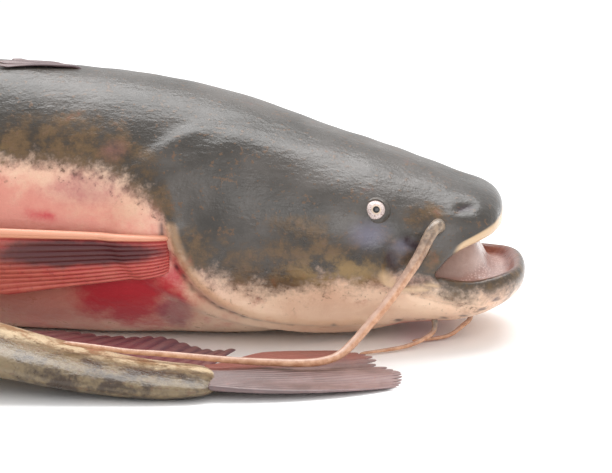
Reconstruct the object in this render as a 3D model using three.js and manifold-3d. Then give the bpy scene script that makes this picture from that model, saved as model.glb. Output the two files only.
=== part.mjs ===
// Whole raw wels catfish (Silurus glanis), lying belly down with its mouth open and its
// tail curled round in a hairpin and laid flat on its left flank in front of the trunk.
// Millimetres, +Z up, head towards +X, the fish's right side towards -Y.
import * as THREE from 'three';
import { mergeVertices } from 'three/addons/utils/BufferGeometryUtils.js';
import Module from 'manifold-3d';

// ---- driving dimensions -------------------------------------------------------------
const STANDARD_LENGTH = 780;   // snout tip to the root of the tail fin, along the midline
const LOWER_JAW_REACH = 11;    // how far the lower jaw stands out in front of the snout
const PECTORAL_AT = 155;       // distance of the pectoral girdle behind the snout tip
const BEND_START = 312;        // the hairpin bend begins here ...
const BEND_END = 572;          // ... and the fish is straight again here
const BEND_TURN = 185;         // degrees turned in the bend
const HEAD_HEADING = 175;      // degrees, direction from the snout backwards
const TRUNK_DRIFT = -8;        // degrees the trunk drifts before the bend
const TAIL_CURL = 30;          // degrees the tail fin curls back towards the trunk
const ROLL_START = 405;        // the tail begins to fall on its left flank here ...
const ROLL_END = 625;          // ... and lies flat from here on
const AROUND = 30;             // points round one cross-section of the body
const SKIN_GAP = 0.35;         // gap between the skin and each piece beside it
const EYE_RADIUS = 5.2;
const EYE_AT = 56;             // distance of the eye behind the snout tip
const BARBEL_RADIUS = 2.7;     // maxillary barbel at its root
const CHIN_BARBEL_RADIUS = 1.3;
const TAIL_FIN_LENGTH = 78;

// Body along the midline: [distance, depth, half width, height of the underside,
// where the widest line sits (share of the depth), crown power, belly power].
const BODY = [
  [0, 8, 17, 50, 0.35, 2.0, 2.4],
  [4, 17, 31, 47, 0.25, 2.1, 2.6],
  [10, 24.5, 38, 43.5, 0.2, 2.2, 2.7],
  [20, 32.5, 44, 39, 0.2, 2.2, 2.7],
  [30, 42, 49, 34, 0.26, 2.2, 2.6],
  [40, 61, 52, 18, 0.42, 2.2, 2.4],
  [50, 75, 54, 7.5, 0.49, 2.2, 2.3],
  [60, 82, 56, 4, 0.47, 2.2, 2.3],
  [75, 88, 59, 2.5, 0.45, 2.15, 2.3],
  [95, 97, 61, 1, 0.44, 2.1, 2.3],
  [120, 107, 62, -0.8, 0.43, 2.1, 2.3],
  [150, 115, 61, -1.5, 0.42, 2.05, 2.3],
  [185, 120, 59, -2, 0.42, 2.05, 2.4],
  [235, 123, 57, -2, 0.42, 2.05, 2.4],
  [290, 121, 51, -2, 0.42, 2.05, 2.4],
  [330, 114, 45, -0.5, 0.43, 2.1, 2.3],
  [370, 105, 38, 2.5, 0.45, 2.1, 2.2],
  [410, 96, 32, 5.5, 0.47, 2.1, 2.2],
  [460, 84, 27, 8, 0.48, 2.1, 2.2],
  [520, 72, 22, 9, 0.5, 2.1, 2.1],
  [580, 61, 17, 9, 0.5, 2.1, 2.1],
  [640, 52, 12, 8.5, 0.5, 2.1, 2.1],
  [683, 45, 9, 7, 0.5, 2.1, 2.1],
  [720, 40, 7.5, 2, 0.5, 2.1, 2.1],
  [745, 37, 6.5, -0.6, 0.5, 2.1, 2.1],
  [765, 35, 5.2, -0.6, 0.5, 2.1, 2.1],
  [780, 33, 3.6, 0.6, 0.5, 2.1, 2.1],
];

// Lower jaw: [distance, height of its upper rim, height of its underside, half width].
const LOWER_JAW = [
  [-11, 32, 24.5, 12],
  [-9, 33.5, 21.5, 21],
  [-5, 33.5, 17.5, 29],
  [2, 32, 13.5, 36.5],
  [12, 30.5, 9.5, 43],
  [24, 31.5, 7, 47.5],
  [36, 34.5, 5.4, 50],
  [52, 36, 4.8, 50],
  [68, 30, 6.5, 40],
];

// Hollow of the mouth: [distance, height of the palate, height of the floor, half width].
const MOUTH = [
  [-4.5, 35, 26, 12],
  [0, 42, 22, 24],
  [7, 50, 19.5, 31],
  [16, 54, 18, 35.5],
  [30, 56, 17.5, 38.5],
  [46, 55, 19, 36],
  [62, 50, 22, 29],
  [76, 44, 26, 20],
  [86, 38, 30, 10],
];

const DEG = Math.PI / 180;
const UP = new THREE.Vector3(0, 0, 1);
const wasm = await Module();
wasm.setup();

// ---- small helpers ------------------------------------------------------------------
function smooth(from, to, s) {
  const t = Math.min(1, Math.max(0, (s - from) / (to - from)));
  return t * t * (3 - 2 * t);
}

// Value of one column of a station table at distance s, with smooth slopes.
function along(table, column, s) {
  const last = table.length - 1;
  if (s <= table[0][0]) return table[0][column];
  if (s >= table[last][0]) return table[last][column];
  let i = 0;
  while (table[i + 1][0] < s) i += 1;
  const slope = (k) => {
    const a = Math.max(0, k - 1);
    const b = Math.min(last, k + 1);
    return (table[b][column] - table[a][column]) / (table[b][0] - table[a][0]);
  };
  const span = table[i + 1][0] - table[i][0];
  const t = (s - table[i][0]) / span;
  const t2 = t * t;
  const t3 = t2 * t;
  return (2 * t3 - 3 * t2 + 1) * table[i][column] + (t3 - 2 * t2 + t) * span * slope(i)
    + (3 * t2 - 2 * t3) * table[i + 1][column] + (t3 - t2) * span * slope(i + 1);
}

function signedPower(value, power) {
  return Math.sign(value) * Math.abs(value) ** power;
}

// Closed solid through a list of rings of equal length; each end is closed by a strip
// across the ring, and the faces are turned outwards.
function solidFromRings(rings) {
  const size = rings[0].length;
  const positions = rings.flat().flatMap((point) => point.toArray());
  const index = [];
  for (let i = 0; i + 1 < rings.length; i += 1) {
    for (let k = 0; k < size; k += 1) {
      const next = (k + 1) % size;
      const a = i * size + k;
      const b = i * size + next;
      index.push(a, b, a + size, b, b + size, a + size);
    }
  }
  const lastRing = (rings.length - 1) * size;
  for (let k = 0; k < size / 2 - 1; k += 1) {
    const a = k;
    const b = k + 1;
    const c = size - 2 - k;
    const d = size - 1 - k;
    index.push(a, c, b, a, d, c);
    index.push(lastRing + a, lastRing + b, lastRing + c, lastRing + a, lastRing + c, lastRing + d);
  }
  const clean = index.filter((value, i) => {
    const j = i - (i % 3);
    return index[j] !== index[j + 1] && index[j + 1] !== index[j + 2] && index[j] !== index[j + 2];
  });
  const geometry = new THREE.BufferGeometry();
  geometry.setAttribute('position', new THREE.Float32BufferAttribute(positions, 3));
  geometry.setIndex(turnedOut(positions, clean));
  geometry.computeVertexNormals();
  return geometry;
}

// The same triangles, all turned round if they enclose a negative volume.
function turnedOut(positions, index) {
  const corner = (i) => new THREE.Vector3().fromArray(positions, 3 * index[i]);
  let volume = 0;
  for (let i = 0; i < index.length; i += 3) {
    volume += corner(i).dot(corner(i + 1).cross(corner(i + 2)));
  }
  if (volume >= 0) return index;
  return index.map((value, i) => index[i - (i % 3) + (3 - (i % 3)) % 3]);
}

function toManifold(geometry) {
  const vertProperties = Float32Array.from(geometry.attributes.position.array);
  const triVerts = Uint32Array.from(geometry.index.array);
  return new wasm.Manifold(new wasm.Mesh({ numProp: 3, vertProperties, triVerts }));
}

function fromManifold(solid) {
  const mesh = solid.getMesh();
  const geometry = new THREE.BufferGeometry();
  geometry.setAttribute('position', new THREE.BufferAttribute(mesh.vertProperties, 3));
  geometry.setIndex(new THREE.BufferAttribute(mesh.triVerts, 1));
  geometry.computeVertexNormals();
  return geometry;
}

// ---- midline ------------------------------------------------------------------------
const MIDLINE_STEP = 2;
const MIDLINE_FROM = -20;

function headingAt(s) {
  return DEG * (HEAD_HEADING + TRUNK_DRIFT * smooth(120, 300, s)
    + BEND_TURN * smooth(BEND_START, BEND_END, s)
    + TAIL_CURL * smooth(STANDARD_LENGTH - 60, STANDARD_LENGTH + 50, s));
}

function walkMidline() {
  const points = [new THREE.Vector3()];
  const count = (STANDARD_LENGTH + TAIL_FIN_LENGTH + 20 - MIDLINE_FROM) / MIDLINE_STEP;
  for (let i = 0; i < count; i += 1) {
    const h = headingAt(MIDLINE_FROM + (i + 0.5) * MIDLINE_STEP);
    const step = new THREE.Vector3(Math.cos(h), Math.sin(h), 0).multiplyScalar(MIDLINE_STEP);
    points.push(points[i].clone().add(step));
  }
  return points;
}

const midline = walkMidline();

function walked(s) {
  const x = (s - MIDLINE_FROM) / MIDLINE_STEP;
  const i = Math.min(midline.length - 2, Math.max(0, Math.floor(x)));
  return midline[i].clone().lerp(midline[i + 1], x - i);
}

const girdle = walked(PECTORAL_AT);

// Frame of the cross-section at distance s: centre, right-hand side and back directions.
function frameAt(s) {
  const h = headingAt(s);
  const backwards = new THREE.Vector3(Math.cos(h), Math.sin(h), 0);
  const side = new THREE.Vector3().crossVectors(UP, backwards);
  const roll = 90 * DEG * smooth(ROLL_START, ROLL_END, s);
  const right = side.clone().multiplyScalar(Math.cos(roll)).addScaledVector(UP, Math.sin(roll));
  const back = UP.clone().multiplyScalar(Math.cos(roll)).addScaledVector(side, -Math.sin(roll));
  const depth = along(BODY, 1, s);
  const half = along(BODY, 2, s);
  const reach = Math.hypot(half * Math.sin(roll), (depth / 2) * Math.cos(roll));
  const centre = walked(s).sub(girdle);
  centre.z = along(BODY, 3, s) + reach;
  return { centre, right, back, side, backwards, depth, half };
}

// ---- skin ---------------------------------------------------------------------------
// Rear edge of the gill cover: distance behind the snout at the angle t (degrees).
function gillEdge(t) {
  const above = Math.max(0, t - 5) / 55;
  const below = Math.max(0, 5 - t) / 80;
  return 166 - 46 * above * above - 104 * below ** 1.3;
}

// Swelling of the skin (mm) over the plain section.
function swelling(s, t) {
  const mirrored = t > 90 ? 180 - t : (t < -90 ? -180 - t : t);
  const edge = gillEdge(mirrored);
  const faded = 1 - smooth(48, 66, mirrored);
  return 2.6 * faded * smooth(edge - 60, edge - 8, s) * (1 - smooth(edge - 1, edge + 5, s));
}

// Point of the skin at distance s and angle t (0 right, 90 back, 180 left, -90 belly),
// standing off the skin by the given distance.
function skin(s, t, off = 0) {
  const f = frameAt(s);
  const c = Math.cos(t * DEG);
  const d = Math.sin(t * DEG);
  const wide = along(BODY, 4, s) * f.depth;
  const power = d >= 0 ? along(BODY, 5, s) : along(BODY, 6, s);
  const tall = d >= 0 ? f.depth - wide : wide;
  const grow = off + swelling(s, t);
  const u = f.half * signedPower(c, 2 / power) + grow * c;
  const v = tall * signedPower(d, 2 / power) + wide - f.depth / 2 + grow * d;
  const point = f.centre.clone().addScaledVector(f.right, u).addScaledVector(f.back, v);
  return point;
}

function bodyStations() {
  const stations = [];
  const runs = [[0, 12, 3], [12, 60, 6], [60, 180, 8], [180, 330, 15], [330, 600, 10],
    [600, STANDARD_LENGTH, 15]];
  for (const [from, to, step] of runs) {
    for (let s = from; s < to - 0.01; s += step) stations.push(s);
  }
  stations.push(STANDARD_LENGTH);
  return stations;
}

function trunkSolid() {
  const rings = bodyStations().map((s) => {
    const ring = [];
    for (let k = 0; k < AROUND; k += 1) {
      const t = (360 * k) / AROUND;
      const point = skin(s, t > 180 ? t - 360 : t);
      point.z = Math.max(0, point.z);
      ring.push(point);
    }
    return ring;
  });
  return solidFromRings(rings);
}

// Rings of a rounded box running backwards along the head, from a [s, top, low, half] table.
function headRings(table, steps, power) {
  const first = table[0][0];
  const last = table[table.length - 1][0];
  const rings = [];
  for (let i = 0; i <= steps; i += 1) {
    const s = first + ((last - first) * (i / steps) ** 1.4);
    const top = along(table, 1, s);
    const low = along(table, 2, s);
    const half = along(table, 3, s);
    const f = frameAt(s);
    const ring = [];
    for (let k = 0; k < AROUND; k += 1) {
      const t = (360 * DEG * k) / AROUND;
      const point = f.centre.clone().addScaledVector(f.side, half * signedPower(Math.cos(t), 2 / power));
      point.z = (top + low) / 2 + ((top - low) / 2) * signedPower(Math.sin(t), 2 / power);
      ring.push(point);
    }
    rings.push(ring);
  }
  return solidFromRings(rings);
}

function eyeCentre(sideSign) {
  const t = sideSign > 0 ? 28 : 152;
  return skin(EYE_AT, t, -EYE_RADIUS + 1.8);
}

function ball(radius, centre, around, rows) {
  const sphere = new THREE.SphereGeometry(radius, around, rows);
  sphere.deleteAttribute('uv');
  sphere.deleteAttribute('normal');
  const geometry = mergeVertices(sphere, 1e-4);
  geometry.translate(centre.x, centre.y, centre.z);
  geometry.computeVertexNormals();
  return geometry;
}

// Head, trunk and tail in one skin, with the open mouth and the two eye sockets.
function bodyGeometry() {
  let solid = toManifold(trunkSolid());
  solid = solid.add(toManifold(headRings(LOWER_JAW, 14, 2.4)));
  solid = solid.subtract(toManifold(headRings(MOUTH, 14, 2.2)));
  for (const sign of [1, -1]) {
    const socket = ball(EYE_RADIUS + SKIN_GAP, eyeCentre(sign), 16, 10);
    solid = solid.subtract(toManifold(socket));
  }
  return fromManifold(solid);
}

// ---- barbels ------------------------------------------------------------------------
// Tapering round feeler through a list of points.
function feeler(points, thick, thin, rings, around) {
  const curve = new THREE.CatmullRomCurve3(points, false, 'centripetal');
  const frames = curve.computeFrenetFrames(rings, false);
  const loops = [];
  for (let i = 0; i <= rings; i += 1) {
    const q = i / rings;
    const tip = Math.sqrt(Math.max(0.12, Math.min(1, (1 - q) / 0.03)));
    const r = (thick + (thin - thick) * q ** 0.8) * (i > rings - 3 ? tip : 1);
    const centre = curve.getPointAt(q);
    const loop = [];
    for (let k = 0; k < around; k += 1) {
      const a = (2 * Math.PI * k) / around;
      loop.push(centre.clone()
        .addScaledVector(frames.normals[i], r * Math.cos(a))
        .addScaledVector(frames.binormals[i], r * Math.sin(a)));
    }
    loops.push(loop);
  }
  return solidFromRings(loops);
}

function maxillaryBarbelRight() {
  const points = [skin(29, 20, SKIN_GAP + 0.9), skin(29, 20, 5), new THREE.Vector3(117, -64.5, 52),
    new THREE.Vector3(112, -67, 44), new THREE.Vector3(104.5, -71.5, 33.8),
    new THREE.Vector3(98, -76, 26), new THREE.Vector3(91, -80.5, 18.8),
    new THREE.Vector3(84.5, -85.5, 12.5), new THREE.Vector3(78, -91.5, 8.6),
    new THREE.Vector3(70, -97, 7.6), new THREE.Vector3(60, -99.5, 7.8),
    new THREE.Vector3(46, -100.5, 8.6), new THREE.Vector3(32, -103.5, 10.4),
    new THREE.Vector3(16, -107, 13), new THREE.Vector3(5, -108, 14.3),
    new THREE.Vector3(-7, -109.5, 15.6), new THREE.Vector3(-20, -112, 18.2),
    new THREE.Vector3(-33, -115, 20.8)];
  return feeler(points, BARBEL_RADIUS, 0.8, 48, 7);
}

function maxillaryBarbelLeft() {
  const points = [skin(29, 160, SKIN_GAP + 0.9), skin(29, 160, 5),
    new THREE.Vector3(128, 55, 45), new THREE.Vector3(122, 63, 34),
    new THREE.Vector3(108, 76, 19), new THREE.Vector3(90, 87, 7),
    new THREE.Vector3(66, 95, 3.2), new THREE.Vector3(30, 101, 2.6),
    new THREE.Vector3(-8, 106, 2.2), new THREE.Vector3(-40, 116, 1.8),
    new THREE.Vector3(-62, 130, 1.5)];
  return feeler(points, BARBEL_RADIUS, 0.8, 40, 7);
}

function chinBarbel(sign, s, out, low, reachBack, reachOut) {
  const f = frameAt(s);
  const at = (ds, across, z) => {
    const g = frameAt(s + ds);
    const point = g.centre.clone().addScaledVector(f.side, sign * across);
    point.z = z;
    return point;
  };
  const points = [at(0, out, low), at(3, out + reachOut * 0.15, low - 1.6),
    at(reachBack * 0.4, out + reachOut * 0.5, 2.0), at(reachBack, out + reachOut, 1.4)];
  return feeler(points, CHIN_BARBEL_RADIUS, 0.6, 12, 8);
}

// ---- fins ---------------------------------------------------------------------------
// Thin blade from rows of middle points; half(i, j) is half its thickness.
function blade(rows, normalAt, halfAt) {
  const rings = rows.map((row, i) => {
    const over = [];
    const under = [];
    row.forEach((point, j) => {
      const n = normalAt(i, j);
      const half = halfAt(i / (rows.length - 1), j / (row.length - 1));
      over.push(point.clone().addScaledVector(n, half));
      under.unshift(point.clone().addScaledVector(n, -half));
    });
    return [...over, ...under];
  });
  return solidFromRings(rings);
}

// Normal of the sheet of middle points at row i, column j.
function sheetNormal(rows, i, j) {
  const up = rows[Math.min(rows.length - 1, i + 1)][j].clone()
    .sub(rows[Math.max(0, i - 1)][j]);
  const across = rows[i][Math.min(rows[i].length - 1, j + 1)].clone()
    .sub(rows[i][Math.max(0, j - 1)]);
  return up.cross(across).normalize();
}

// Paired fin folded back along the flank: rays fan out from a short root.
function pairedFin(sign, fin) {
  const rows = [];
  for (let i = 0; i <= fin.rows; i += 1) {
    const q = i / fin.rows;
    const row = [];
    for (let j = 0; j <= fin.rays; j += 1) {
      const w = j / fin.rays;
      const length = fin.length * (1 - fin.shorten * w ** 1.5);
      const s = fin.at + (fin.run ?? 0) * w + length * q;
      const spread = q ** 0.8;
      const t = fin.rootAngle - fin.rootSpan * w * (1 - spread)
        + (fin.tipLift - fin.tipSpan * w) * spread;
      const off = SKIN_GAP + fin.thick + 0.5 + fin.flare * Math.sin(q * Math.PI / 2) * (1 - 0.35 * w);
      row.push(skin(s, sign > 0 ? t : 180 - t, off));
    }
    rows.push(row);
  }
  const half = (q, w) => fin.thick * (1 - 0.65 * q) * (w < 0.01 ? 1 : 0.7 - 0.2 * w);
  return blade(rows, (i, j) => sheetNormal(rows, i, j), half);
}

const DORSAL = { at: 190, run: 14, length: 38, shorten: 0.5, rootAngle: 86, rootSpan: -3,
  tipLift: -11, tipSpan: -11, flare: 1.2, thick: 0.9, rows: 6, rays: 4 };
const PECTORAL = { at: 146, length: 104, shorten: 0.3, rootAngle: 5, rootSpan: 13, tipLift: -1,
  tipSpan: 25, flare: 8, thick: 2.2, rows: 9, rays: 7 };
const PELVIC = { at: 268, length: 50, shorten: 0.4, rootAngle: -44, rootSpan: 9, tipLift: 3,
  tipSpan: 16, flare: 5, thick: 1.2, rows: 6, rays: 5 };

function analFin() {
  const from = 372;
  const to = STANDARD_LENGTH - 6;
  const columns = 34;
  const rows = [];
  for (let i = 0; i <= columns; i += 1) {
    const s = from + ((to - from) * i) / columns;
    const f = frameAt(s);
    const root = skin(s, -90, SKIN_GAP + 1.1);
    const tall = 3 + 24 * smooth(from, from + 45, s) * (1 - 0.35 * smooth(to - 60, to, s));
    const row = [];
    for (let j = 0; j <= 4; j += 1) {
      const q = j / 4;
      const point = root.clone().addScaledVector(f.side, tall * q)
        .addScaledVector(f.backwards, 9 * q * smooth(from, from + 30, s));
      const drooped = 1.3 + (root.z - 1.3) * (1 - q) ** 1.4;
      const stiff = root.z + (11.5 * smooth(660, 740, s) - 9) * q;
      point.z = drooped + (stiff - drooped) * smooth(560, 660, s);
      row.push(point);
    }
    rows.push(row);
  }
  return blade(rows, () => UP, (q, w) => 1 - 0.5 * w);
}

function tailFin() {
  const rows = [];
  const length = TAIL_FIN_LENGTH;
  for (let i = 0; i <= 10; i += 1) {
    const q = i / 10;
    const row = [];
    for (let j = 0; j <= 10; j += 1) {
      const w = -1 + (2 * j) / 10;
      const reach = length * (1 - 0.14 * Math.abs(w) ** 2.5 - 0.07 * Math.max(0, w)) * q;
      const f = frameAt(STANDARD_LENGTH);
      const g = frameAt(STANDARD_LENGTH + SKIN_GAP + 0.2 + reach);
      const spread = (14.5 + (w > 0 ? 13 : 8.5) * Math.sin(q * 2.0)) * w;
      const point = g.centre.clone().addScaledVector(g.side, spread);
      point.z = f.centre.z * (1 - q) ** 1.5 + 1.5 + 4 * Math.max(0, w) * smooth(0, 0.5, q);
      row.push(point);
    }
    rows.push(row);
  }
  return blade(rows, () => UP, (q, w) => (1.9 - 1.4 * q) * (1 - 0.35 * (2 * w - 1) ** 2));
}

// ---- materials and assembly ---------------------------------------------------------
function finish(color, roughness) {
  return new THREE.MeshStandardMaterial({ color, roughness, metalness: 0 });
}

const fish = new THREE.Group();
fish.name = 'catfish';

function add(name, geometry, color, roughness) {
  const mesh = new THREE.Mesh(geometry, finish(color, roughness));
  mesh.name = name;
  fish.add(mesh);
}

add('body', bodyGeometry(), 0x5a5750, 0.35);
for (const [label, sign] of [['right', 1], ['left', -1]]) {
  add(`eye_${label}`, ball(EYE_RADIUS, eyeCentre(sign), 16, 10), 0xd8c8c0, 0.12);
  add(`pectoral_fin_${label}`, pairedFin(sign, PECTORAL), 0x9a4038, 0.45);
  add(`pelvic_fin_${label}`, pairedFin(sign, PELVIC), 0x8a4a42, 0.45);
  add(`chin_barbel_front_${label}`, chinBarbel(sign, 14, 17, 7.6, 26, 15), 0xc58a78, 0.4);
  add(`chin_barbel_rear_${label}`, chinBarbel(sign, 30, 33, 6.2, 32, 22), 0xc58a78, 0.4);
}
add('maxillary_barbel_right', maxillaryBarbelRight(), 0xb98a70, 0.4);
add('maxillary_barbel_left', maxillaryBarbelLeft(), 0xb98a70, 0.4);
add('dorsal_fin', pairedFin(1, DORSAL), 0x2e2b28, 0.45);
add('anal_fin', analFin(), 0x4a2c34, 0.45);
add('tail_fin', tailFin(), 0x6e5a58, 0.45);

// Origin: middle of the footprint, on the surface the fish lies on.
const bounds = new THREE.Box3().setFromObject(fish);
const middle = bounds.getCenter(new THREE.Vector3());
fish.position.set(-middle.x, -middle.y, -bounds.min.z);
fish.updateMatrixWorld(true);

export default fish;
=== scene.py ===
import math
import bmesh
import bpy
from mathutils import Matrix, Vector, noise


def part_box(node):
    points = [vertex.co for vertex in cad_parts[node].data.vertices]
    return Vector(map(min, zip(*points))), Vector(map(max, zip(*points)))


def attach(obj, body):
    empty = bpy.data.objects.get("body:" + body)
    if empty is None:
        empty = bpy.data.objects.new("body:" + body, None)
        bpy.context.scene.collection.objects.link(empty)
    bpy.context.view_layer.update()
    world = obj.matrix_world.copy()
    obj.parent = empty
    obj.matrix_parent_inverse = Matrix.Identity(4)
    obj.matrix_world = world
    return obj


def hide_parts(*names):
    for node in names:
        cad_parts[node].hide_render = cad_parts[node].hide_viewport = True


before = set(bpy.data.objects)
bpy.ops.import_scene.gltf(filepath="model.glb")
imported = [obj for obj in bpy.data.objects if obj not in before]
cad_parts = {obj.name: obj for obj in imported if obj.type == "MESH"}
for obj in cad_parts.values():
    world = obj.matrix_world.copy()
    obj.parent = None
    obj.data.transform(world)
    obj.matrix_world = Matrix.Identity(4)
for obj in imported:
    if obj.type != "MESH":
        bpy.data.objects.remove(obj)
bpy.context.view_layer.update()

# ---- Camera, table and light ---------------------------------------------------------
# The fish lies on a plain pale table under a wide soft light from above and behind,
# seen from its right side, a little above the table and from a long way off.
AIM = Vector((0.1267, 0.0011, 0.040))
EYE_LEVEL = math.radians(12)
STAND_OFF = 0.80

lens = bpy.data.cameras.new("camera")
lens.sensor_width = 36
lens.lens = 101.2
lens.clip_start = 0.01
lens.clip_end = 50
camera = bpy.data.objects.new("camera", lens)
bpy.context.scene.collection.objects.link(camera)
camera.location = AIM + STAND_OFF * Vector((0, -math.cos(EYE_LEVEL), math.sin(EYE_LEVEL)))
camera.rotation_euler = (math.radians(90) - EYE_LEVEL, 0, 0)
bpy.context.scene.camera = camera
bpy.context.scene.view_settings.view_transform = "Standard"

table_shape = bmesh.new()
bmesh.ops.create_grid(table_shape, x_segments=1, y_segments=1, size=4)
table_mesh = bpy.data.meshes.new("table")
table_shape.to_mesh(table_mesh)
table_shape.free()
table = bpy.data.objects.new("table", table_mesh)
table.location = (0, 0, 0)
bpy.context.scene.collection.objects.link(table)
white = bpy.data.materials.new("white table")
white.use_nodes = True
white.node_tree.nodes["Principled BSDF"].inputs["Base Color"].default_value = (0.97, 0.97, 0.97, 1)
white.node_tree.nodes["Principled BSDF"].inputs["Roughness"].default_value = 0.75
table_mesh.materials.append(white)

sky = bpy.data.worlds.new("studio")
sky.use_nodes = True
sky.node_tree.nodes["Background"].inputs["Color"].default_value = (1, 1, 1, 1)
sky.node_tree.nodes["Background"].inputs["Strength"].default_value = 0.97
bpy.context.scene.world = sky


def soft_light(name, place, toward, width, height, power):
    panel = bpy.data.lights.new(name, "AREA")
    panel.shape = "RECTANGLE"
    panel.size = width
    panel.size_y = height
    panel.energy = power
    lamp = bpy.data.objects.new(name, panel)
    lamp.location = place
    lamp.rotation_euler = (Vector(toward) - Vector(place)).to_track_quat("-Z", "Y").to_euler()
    bpy.context.scene.collection.objects.link(lamp)


soft_light("top panel", (0.1, 0.45, 1.3), (0.05, 0, 0.05), 1.6, 0.9, 22)
soft_light("front panel", (0.5, -1.3, 0.9), (0.08, 0, 0.05), 0.9, 0.7, 4)


# ---- Skin: body, from the tail root to the lips and into the throat -------------------
# One smooth scaleless skin over head, trunk and tail. It is drawn out ring by ring from
# the root of the tail fin along the bent midline, over the head to the lips, and turned
# in over them into the open mouth. Millimetres here, metres in the mesh.
LENGTH = 780
GIRDLE_AT = 155
GIRDLE = Vector((0, 0, 0))
AROUND = 96
NECK = 62

# distance from the snout, depth, half width, underside, widest line, crown and belly power
BODY = (
    (0, 8, 17, 50, 0.35, 2.0, 2.4), (4, 17, 31, 47, 0.25, 2.1, 2.6),
    (10, 24.5, 38, 43.5, 0.2, 2.2, 2.7), (20, 32.5, 44, 39, 0.2, 2.2, 2.7),
    (30, 42, 49, 34, 0.26, 2.2, 2.6), (40, 61, 52, 18, 0.42, 2.2, 2.4),
    (50, 75, 54, 7.5, 0.49, 2.2, 2.3), (60, 82, 56, 4, 0.47, 2.2, 2.3),
    (75, 88, 59, 2.5, 0.45, 2.15, 2.3), (95, 97, 61, 1, 0.44, 2.1, 2.3),
    (120, 107, 62, -0.8, 0.43, 2.1, 2.3), (150, 115, 61, -1.5, 0.42, 2.05, 2.3),
    (185, 120, 59, -2, 0.42, 2.05, 2.4), (235, 123, 57, -2, 0.42, 2.05, 2.4),
    (290, 121, 51, -2, 0.42, 2.05, 2.4), (330, 114, 45, -0.5, 0.43, 2.1, 2.3),
    (370, 105, 38, 2.5, 0.45, 2.1, 2.2), (410, 96, 32, 5.5, 0.47, 2.1, 2.2),
    (460, 84, 27, 8, 0.48, 2.1, 2.2), (520, 72, 22, 9, 0.5, 2.1, 2.1),
    (580, 61, 17, 9, 0.5, 2.1, 2.1), (640, 52, 12, 8.5, 0.5, 2.1, 2.1),
    (683, 45, 9, 7, 0.5, 2.1, 2.1), (720, 40, 7.5, 2, 0.5, 2.1, 2.1),
    (745, 37, 6.5, -0.6, 0.5, 2.1, 2.1), (765, 35, 5.2, -0.6, 0.5, 2.1, 2.1),
    (780, 33, 3.6, 0.6, 0.5, 2.1, 2.1),
)
DEPTH, HALF, UNDER, WIDEST, CROWN, BELLY = 1, 2, 3, 4, 5, 6


def smooth(start, end, x):
    share = min(1, max(0, (x - start) / (end - start)))
    return share * share * (3 - 2 * share)


def along(stations, column, s):
    """One column of a station list at distance s, with smooth slopes."""
    last = len(stations) - 1
    if s <= stations[0][0]:
        return stations[0][column]
    if s >= stations[last][0]:
        return stations[last][column]
    i = next(k for k in range(last) if stations[k + 1][0] >= s)

    def slope(k):
        before, after = stations[max(0, k - 1)], stations[min(last, k + 1)]
        return (after[column] - before[column]) / (after[0] - before[0])

    span = stations[i + 1][0] - stations[i][0]
    x = (s - stations[i][0]) / span
    rise = x * x * (3 - 2 * x)
    return ((1 - rise) * stations[i][column] + rise * stations[i + 1][column]
            + span * ((x ** 3 - 2 * x * x + x) * slope(i) + (x ** 3 - x * x) * slope(i + 1)))


def power(value, exponent):
    return math.copysign(abs(value) ** exponent, value)


def heading(s):
    return math.radians(175 - 8 * smooth(120, 300, s) + 185 * smooth(312, 572, s)
                        + 30 * smooth(LENGTH - 60, LENGTH + 50, s))


midline = [Vector((0, 0, 0))]
for step in range(460):
    turn = heading(-20 + 2 * step + 1)
    midline.append(midline[-1] + 2 * Vector((math.cos(turn), math.sin(turn), 0)))


def walked(s):
    x = (s + 20) / 2
    i = min(len(midline) - 2, max(0, int(x)))
    return midline[i].lerp(midline[i + 1], x - i)


def section(s):
    """Centre, right-hand side, back, level side and backward directions at distance s."""
    turn = heading(s)
    backward = Vector((math.cos(turn), math.sin(turn), 0))
    side = Vector((0, 0, 1)).cross(backward)
    roll = math.radians(90) * smooth(405, 625, s)
    up = Vector((0, 0, 1))
    right = side * math.cos(roll) + up * math.sin(roll)
    back = up * math.cos(roll) - side * math.sin(roll)
    reach = math.hypot(along(BODY, HALF, s) * math.sin(roll),
                       along(BODY, DEPTH, s) / 2 * math.cos(roll))
    centre = walked(s) - walked(GIRDLE_AT) + GIRDLE
    centre.z = along(BODY, UNDER, s) + reach
    return centre, right, back, side, backward


def skin(s, angle, off=0):
    """Point of the plain skin: angle 0 is the right side, 90 the back, -90 the belly."""
    centre, right, back, _, _ = section(s)
    c, d = math.cos(math.radians(angle)), math.sin(math.radians(angle))
    depth = along(BODY, DEPTH, s)
    widest = along(BODY, WIDEST, s) * depth
    roundness = along(BODY, CROWN if d >= 0 else BELLY, s)
    tall = depth - widest if d >= 0 else widest
    mirrored = 180 - angle if angle > 90 else (-180 - angle if angle < -90 else angle)
    above, below = max(0, mirrored - 5) / 55, max(0, 5 - mirrored) / 80
    gill = 166 - 46 * above * above - 104 * below ** 1.3
    off += (2.6 * (1 - smooth(48, 66, mirrored)) * smooth(gill - 60, gill - 8, s)
            * (1 - smooth(gill - 1, gill + 5, s)))
    across = along(BODY, HALF, s) * power(c, 2 / roundness) + off * c
    up = tall * power(d, 2 / roundness) + widest - depth / 2 + off * d
    return centre + right * across + back * up


# The right eye is let into the skin, and its place in the frame places the whole fish.
EYE_AT, EYE_ANGLE, EYE_RADIUS, EYE_BULGE = 56, 28, 5.2, 1.8
low_corner, high_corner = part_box("eye_right")
GIRDLE = ((Vector(low_corner) + Vector(high_corner)) * 500
          - skin(EYE_AT, EYE_ANGLE, EYE_BULGE - EYE_RADIUS))
GIRDLE.z = 0

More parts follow.
